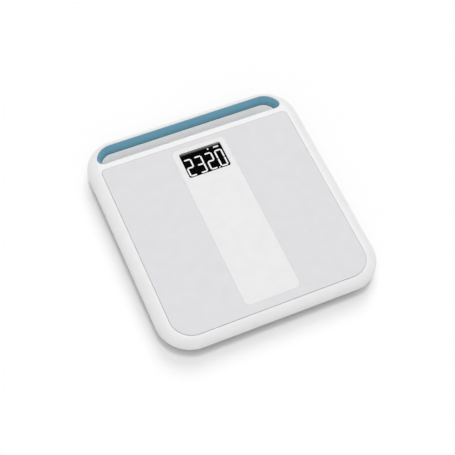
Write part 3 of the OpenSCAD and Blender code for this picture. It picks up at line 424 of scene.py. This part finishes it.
def grip_end(off, steps=40):
    """Points of the liner's right end at one offset from the slot's edge, from front to back."""
    arc_x, arc_y = GRIP_END.arc
    r = SLOT.broad + off
    gap = GRIP_END.broad - GRIP_END.tip
    spread = math.acos((r**2 + gap**2 - GRIP_END.tip**2) / (2 * r * gap))
    start = GRIP_END.turn - spread
    straight = 0.0
    if start < 0:
        start = 0.0
        beside = arc_x + r - GRIP_END.tip_x
        straight = arc_y - GRIP_END.tip_y + math.sqrt(GRIP_END.tip**2 - beside**2)
    length = straight + r * (math.pi / 2 - start)
    points = []
    for k in range(steps):
        at = length * k / steps
        w = start + max(at - straight, 0) / r
        low = min(at - straight, 0)
        points.append((arc_x + r * math.cos(w), arc_y + r * math.sin(w) + low))
    return points


def grip(mat):
    """The liner, swept along the slot's right end, back and left end."""
    back_steps = 20
    solid = Solid()
    strands = []
    for off, z in grip_section():
        half = grip_end(off)
        y = SLOT.arc[1] + SLOT.broad + off
        half += [(SLOT.arc[0] * (1 - k / back_steps), y) for k in range(back_steps + 1)]
        strands.append(solid.ring(half + [(-x, y) for x, y in half[-2::-1]], z))
    rings = [[strand[k] for strand in strands] for k in range(len(strands[0]))]
    solid.loft(*rings)
    for ring in (rings[0], rings[-1]):
        solid.faces.append(tuple(ring))
    return solid.piece("grip_liner", mat, "housing", 50)


def lathe(name, mat, body, at, profile, steps=72):
    """Solid of revolution about an upright axis, from a profile of radii and heights."""
    solid = Solid()
    rings = []
    for r, z in profile:
        ring = []
        for i in range(steps):
            w = 2 * math.pi * i / steps
            ring.append((at[0] + r * math.cos(w), at[1] + r * math.sin(w)))
        rings.append(solid.ring(ring, z))
    solid.loft(*rings)
    solid.faces.append(tuple(rings[0]))
    solid.faces.append(tuple(rings[-1]))
    return solid.piece(name, mat, body, 40)


def rubber_pad(corner, mat):
    """Pad with a rounded edge, one deep ring groove and fine ridges inside it."""
    pad_r, pad_t, hub_r, bevel, groove_h = 18.0, 2.6, 0.5, 0.3, 0.6
    profile = [(hub_r, pad_t), (pad_r - bevel, pad_t), (pad_r, pad_t - bevel), (pad_r, groove_h)]
    profile += [(pad_r - inward, z) for inward, z in ((0.04, 0.4), (0.15, 0.2), (0.35, 0.06), (0.6, 0.0))]
    profile += [(14.2, 0.0), (14.0, 0.15), (13.9, groove_h), (12.6, groove_h), (12.5, 0.15), (12.3, 0.0)]
    ridge = ((1.0, 0.0), (0.75, 0.3), (0.25, 0.3), (0.0, 0.0))
    profile += [(r + wide, z) for r in (10.5, 8.0, 5.5, 3.0) for wide, z in ridge]
    profile.append((hub_r, 0.0))
    obj = lathe("rubber_" + corner, mat, corner + "_foot", FOOT_SITES[corner], profile)
    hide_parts("pad_" + corner)


class Nodes:
    """A material and short ways to add and join its nodes."""

    def __init__(self, name):
        self.mat = bpy.data.materials.new(name)
        self.mat.use_nodes = True
        self.tree = self.mat.node_tree
        self.shader = self.tree.nodes["Principled BSDF"]
        self.out = self.tree.nodes["Material Output"]

    def add(self, kind, **values):
        node = self.tree.nodes.new(kind)
        for key, value in values.items():
            setattr(node, key, value)
        return node

    def join(self, a, b):
        self.tree.links.new(a, b)

    def noise(self, coords, scale, detail=2.0):
        """Cloudy value; a larger scale gives finer clouds."""
        node = self.add("ShaderNodeTexNoise")
        node.inputs["Scale"].default_value = scale
        node.inputs["Detail"].default_value = detail
        self.join(coords, node.inputs["Vector"])
        return node.outputs["Fac"]

    def ramp(self, value, stops, interpolation="LINEAR"):
        """Colour ramp over a value, from places and colours."""
        node = self.add("ShaderNodeValToRGB")
        ramp = node.color_ramp
        ramp.interpolation = interpolation
        while len(ramp.elements) < len(stops):
            ramp.elements.new(0.5)
        for element, (at, color) in zip(ramp.elements, stops):
            element.position = at
            element.color = (*color, 1)
        self.join(value, node.inputs["Fac"])
        return node.outputs["Color"]

    def graded(self, axis, span, stops, interpolation="LINEAR"):
        """Base colour that changes along one axis of the frame, over a span in metres."""
        split = self.add("ShaderNodeSeparateXYZ")
        self.join(self.add("ShaderNodeTexCoord").outputs["Object"], split.inputs[0])
        place = self.add("ShaderNodeMapRange")
        place.inputs["From Min"].default_value = span[0]
        place.inputs["From Max"].default_value = span[1]
        self.join(split.outputs[axis], place.inputs["Value"])
        color = self.ramp(place.outputs["Result"], stops, interpolation)
        self.join(color, self.shader.inputs["Base Color"])


def surface(name, color, rough, grain=0.1, grain_scale=1500.0, shade=0.015, spec=0.5, metallic=0.0):
    """Moulded or drawn surface: cloudy gloss, a trace of uneven colour, and a fine grain."""
    uneven = 0.04
    m = Nodes(name)
    inputs = m.shader.inputs
    inputs["Specular IOR Level"].default_value = spec
    inputs["Metallic"].default_value = metallic
    coords = m.add("ShaderNodeTexCoord").outputs["Object"]
    cloud = m.noise(coords, 18.0, 3.0)
    spread = m.add("ShaderNodeMapRange")
    spread.inputs["From Min"].default_value = 0.3
    spread.inputs["From Max"].default_value = 0.7
    spread.inputs["To Min"].default_value = rough - uneven
    spread.inputs["To Max"].default_value = rough + uneven
    m.join(cloud, spread.inputs["Value"])
    m.join(spread.outputs["Result"], inputs["Roughness"])
    darker = [c * (1 - shade) for c in color]
    lighter = [min(c * (1 + shade), 1) for c in color]
    tint = m.ramp(m.noise(coords, 55.0, 2.0), [(0.3, darker), (0.7, lighter)])
    m.join(tint, inputs["Base Color"])
    bump = m.add("ShaderNodeBump")
    bump.inputs["Strength"].default_value = grain
    bump.inputs["Distance"].default_value = 0.0001
    m.join(m.noise(coords, grain_scale), bump.inputs["Height"])
    m.join(bump.outputs["Normal"], inputs["Normal"])
    return m


def battery_sleeve(index):
    """Dark sleeve with a pale band; the bare metal of the two ends shows by its place along the cell."""
    sleeve, band, steel = (0.02, 0.045, 0.075), (0.4, 0.43, 0.46), (0.62, 0.62, 0.62)
    m = surface("battery_%d" % index, sleeve, 0.28)
    low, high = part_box("battery_%d" % index)
    span = (low.y, high.y) if index % 2 else (high.y, low.y)
    m.graded("Y", span, [(0.0, steel), (0.012, sleeve), (0.8, band), (0.96, steel)], "CONSTANT")
    m.shader.inputs["Metallic"].default_value = 0.6
    return m.mat


def smoked_window():
    """Dark clear lens, with a painted reflection of the pale wall of the opening along its rear edge."""
    dark, pale = (0.002, 0.002, 0.0025), (0.5, 0.5, 0.51)
    painted_reflection_band = (0.1093, 0.1135)
    m = surface("smoked_window", dark, 0.08, 0.0, spec=0.01)
    # Painted reflection: the lens colour turns pale towards its rear edge
    m.graded("Y", painted_reflection_band, [(0.0, dark), (1.0, pale)], "EASE")
    m.shader.inputs["Alpha"].default_value = 0.35
    return m


def soft_liner():
    """Blue soft-touch liner, with painted shade that darkens its colour towards its lower edge."""
    blue = (0.157, 0.41, 0.563)
    height = (0.0187, 0.0337)
    m = surface("blue_grip", blue, 0.6, 0.3, 2200)
    m.shader.inputs["Sheen Weight"].default_value = 0.15
    # Painted shade: the base colour is darkened by height, most at the liner's lower edge
    depths = [(0.0, 0.45), (0.12, 0.6), (0.22, 0.8), (0.42, 0.89), (0.65, 1.0)]
    m.graded("Z", height, [(at, [c * depth for c in blue]) for at, depth in depths])
    return m


def make_materials():
    """One material for each material slot of the record."""
    made = {}

    def add(slot, *args, **more):
        made[slot] = surface(slot, *args, **more)
        return made[slot].shader.inputs

    add("white_housing", (0.85, 0.85, 0.847), 0.38, 0.06, 1800)
    mat = add("grey_mat", (0.742, 0.731, 0.753), 0.62, 0.3, 2600)
    mat["Sheen Weight"].default_value = 0.1
    add("pale_strip", (0.816, 0.816, 0.818), 0.5, 0.2, 2600)
    made["blue_grip"] = soft_liner()
    made["smoked_window"] = smoked_window()
    add("display_glass", (0.0025, 0.0025, 0.003), 0.25, 0.0, spec=0.0)
    lit = add("lit_digits", (0.9, 0.9, 0.9), 0.5)
    lit["Emission Color"].default_value = (1, 1, 1, 1)
    lit["Emission Strength"].default_value = 1.85
    add("light_guide", (0.85, 0.85, 0.8), 0.3)
    add("frame_plastic", (0.72, 0.72, 0.72), 0.45)
    add("ribbon_film", (0.55, 0.33, 0.12), 0.3)
    add("zinc_steel", (0.62, 0.63, 0.65), 0.33, 0.15, 900, metallic=1.0)
    add("board_green", (0.02, 0.22, 0.10), 0.35)
    add("chip_black", (0.03, 0.03, 0.035), 0.5)
    add("can_steel", (0.7, 0.7, 0.72), 0.25, metallic=1.0)
    add("socket_ivory", (0.8, 0.77, 0.66), 0.5)
    add("button_grey", (0.42, 0.43, 0.44), 0.45, 0.15)
    add("button_blue", (0.135, 0.345, 0.47), 0.45, 0.15)
    add("nickel", (0.75, 0.74, 0.71), 0.2, metallic=1.0)
    add("wire_red", (0.5, 0.03, 0.03), 0.45)
    add("wire_black", (0.03, 0.03, 0.03), 0.45)
    add("wire_grey", (0.22, 0.22, 0.23), 0.45)
    add("foot_grey", (0.45, 0.45, 0.46), 0.45, 0.15)
    add("pad_rubber", (0.06, 0.06, 0.063), 0.75, 0.4, 2200)
    add("screw_steel", (0.6, 0.6, 0.62), 0.3, metallic=1.0)
    return {slot: m.mat for slot, m in made.items()}


def add_floor():
    """Pale floor. As the camera sees it, a painted shadow darkens it in the narrow gaps beside and under
    the object.
    """
    bpy.ops.mesh.primitive_plane_add(size=12, location=(0, 0, 0))
    floor = bpy.context.object
    floor.name = "floor"
    m = Nodes("floor")
    m.shader.inputs["Base Color"].default_value = (0.92, 0.92, 0.92, 1)
    m.shader.inputs["Roughness"].default_value = 0.9
    m.shader.inputs["Specular IOR Level"].default_value = 0.0

    # What the camera, gloss and clear parts show: painted shadow where the floor is less open, with a faint
    # glow
    seen = m.add("ShaderNodeBsdfDiffuse")
    near = m.add("ShaderNodeAmbientOcclusion")
    near.inputs["Distance"].default_value = 0.025
    painted_shadow_greys = [(0.25, 0.22), (0.4, 0.5), (0.6, 0.92), (1.0, 1.0)]
    m.join(m.ramp(near.outputs["AO"], [(at, [grey] * 3) for at, grey in painted_shadow_greys]), seen.inputs["Color"])
    glow = m.add("ShaderNodeEmission")
    glow.inputs["Strength"].default_value = 0.01
    both = m.add("ShaderNodeAddShader")
    m.join(seen.outputs[0], both.inputs[0])
    m.join(glow.outputs[0], both.inputs[1])

    # Those rays take that look, and all others take the plain floor
    path = m.add("ShaderNodeLightPath")
    shown = path.outputs["Is Camera Ray"]
    for ray in ("Is Glossy Ray", "Is Transmission Ray"):
        either = m.add("ShaderNodeMath", operation="MAXIMUM")
        m.join(shown, either.inputs[0])
        m.join(path.outputs[ray], either.inputs[1])
        shown = either.outputs[0]
    mix = m.add("ShaderNodeMixShader")
    m.join(shown, mix.inputs[0])
    m.join(m.shader.outputs[0], mix.inputs[1])
    m.join(both.outputs[0], mix.inputs[2])
    m.join(mix.outputs[0], m.out.inputs["Surface"])
    floor.data.materials.append(m.mat)


def add_sun(name, energy, lift, spread):
    """Light from behind and a little to the right, lift degrees above the floor, spread degrees wide."""
    sun = bpy.data.lights.new(name, "SUN")
    sun.energy = energy
    sun.angle = math.radians(spread)
    obj = bpy.data.objects.new(name, sun)
    bpy.context.scene.collection.objects.link(obj)
    toward = Vector((0.5, 0.866, math.tan(math.radians(lift))))
    obj.rotation_euler = toward.to_track_quat("Z", "Y").to_euler()


def add_light():
    """White surroundings, brighter towards the front and left, a soft key light and one from above."""
    bright_side = Vector((-0.45, -0.9, 0.25)).normalized()
    dim, full = 0.56, 1.0
    world = bpy.data.worlds.new("world")
    bpy.context.scene.world = world
    world.use_nodes = True
    tree = world.node_tree
    coords = tree.nodes.new("ShaderNodeTexCoord")
    toward = tree.nodes.new("ShaderNodeVectorMath")
    toward.operation = "DOT_PRODUCT"
    toward.inputs[1].default_value = bright_side
    ramp = tree.nodes.new("ShaderNodeValToRGB")
    for element, grey in zip(ramp.color_ramp.elements, (dim, full)):
        element.color = (grey, grey, grey, 1)
    background = tree.nodes["Background"]
    background.inputs["Strength"].default_value = 0.785
    tree.links.new(coords.outputs["Generated"], toward.inputs[0])
    tree.links.new(toward.outputs["Value"], ramp.inputs["Fac"])
    tree.links.new(ramp.outputs["Color"], background.inputs["Color"])
    add_sun("key", 0.86, 50, 35)
    add_sun("top", 0.74, 89, 12)


def finish_piece(obj, slot, *nodes):
    """The piece stands for its CAD nodes, which it hides. The slot argument is not used."""
    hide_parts(*nodes)


add_camera()
slots = make_materials()
node_slots = {part["node"]: part["material_slot"] for part in frame["record"]["subparts"]}
for name, obj in frame["nodes"].items():
    obj.data.materials.clear()
    number = name.removeprefix("battery_")
    if number.isdigit():
        obj.data.materials.append(battery_sleeve(int(number)))
    else:
        obj.data.materials.append(slots[node_slots[name]])

finish_piece(top_shell(slots["white_housing"]), "white_housing", "top_cover")
mat_edge = MAT.grown(-0.35)
finish_piece(
    slab(
        "mat", slots["grey_mat"], "housing", mat_edge, edge_profile(RECESS_Z, TOP_Z, 0.6, -1),
        [(STRIP, edge_profile(RECESS_Z, TOP_Z, 0.15, 1))],
    ),
    "grey_mat", "platform_mat",
)
strip_edge = STRIP.grown(-0.08)
seat_w = 3.15
window_profile = [(seat_w, RECESS_Z), (seat_w, LENS_SEAT_Z), (0.0, LENS_SEAT_Z)]
window_profile += edge_profile(LENS_SEAT_Z, TOP_Z, 0.4, 1)[1:]
finish_piece(
    slab(
        "strip", slots["pale_strip"], "housing", strip_edge, edge_profile(RECESS_Z, TOP_Z, 0.2, -1),
        [(WINDOW, window_profile)],
    ),
    "pale_strip", "centre_strip",
)
lens_edge = WINDOW.grown(3, WINDOW.rear_r)
finish_piece(
    slab("lens", slots["smoked_window"], "housing", lens_edge, edge_profile(RECESS_Z, LENS_Z, 0.15, -1)),
    "smoked_window", "display_window",
)
finish_piece(grip(slots["blue_grip"]), "blue_grip", "handle_grip")
for corner in FOOT_SITES:
    rubber_pad(corner, slots["pad_rubber"])

add_floor()
add_light()
bpy.context.scene.view_settings.view_transform = "Standard"
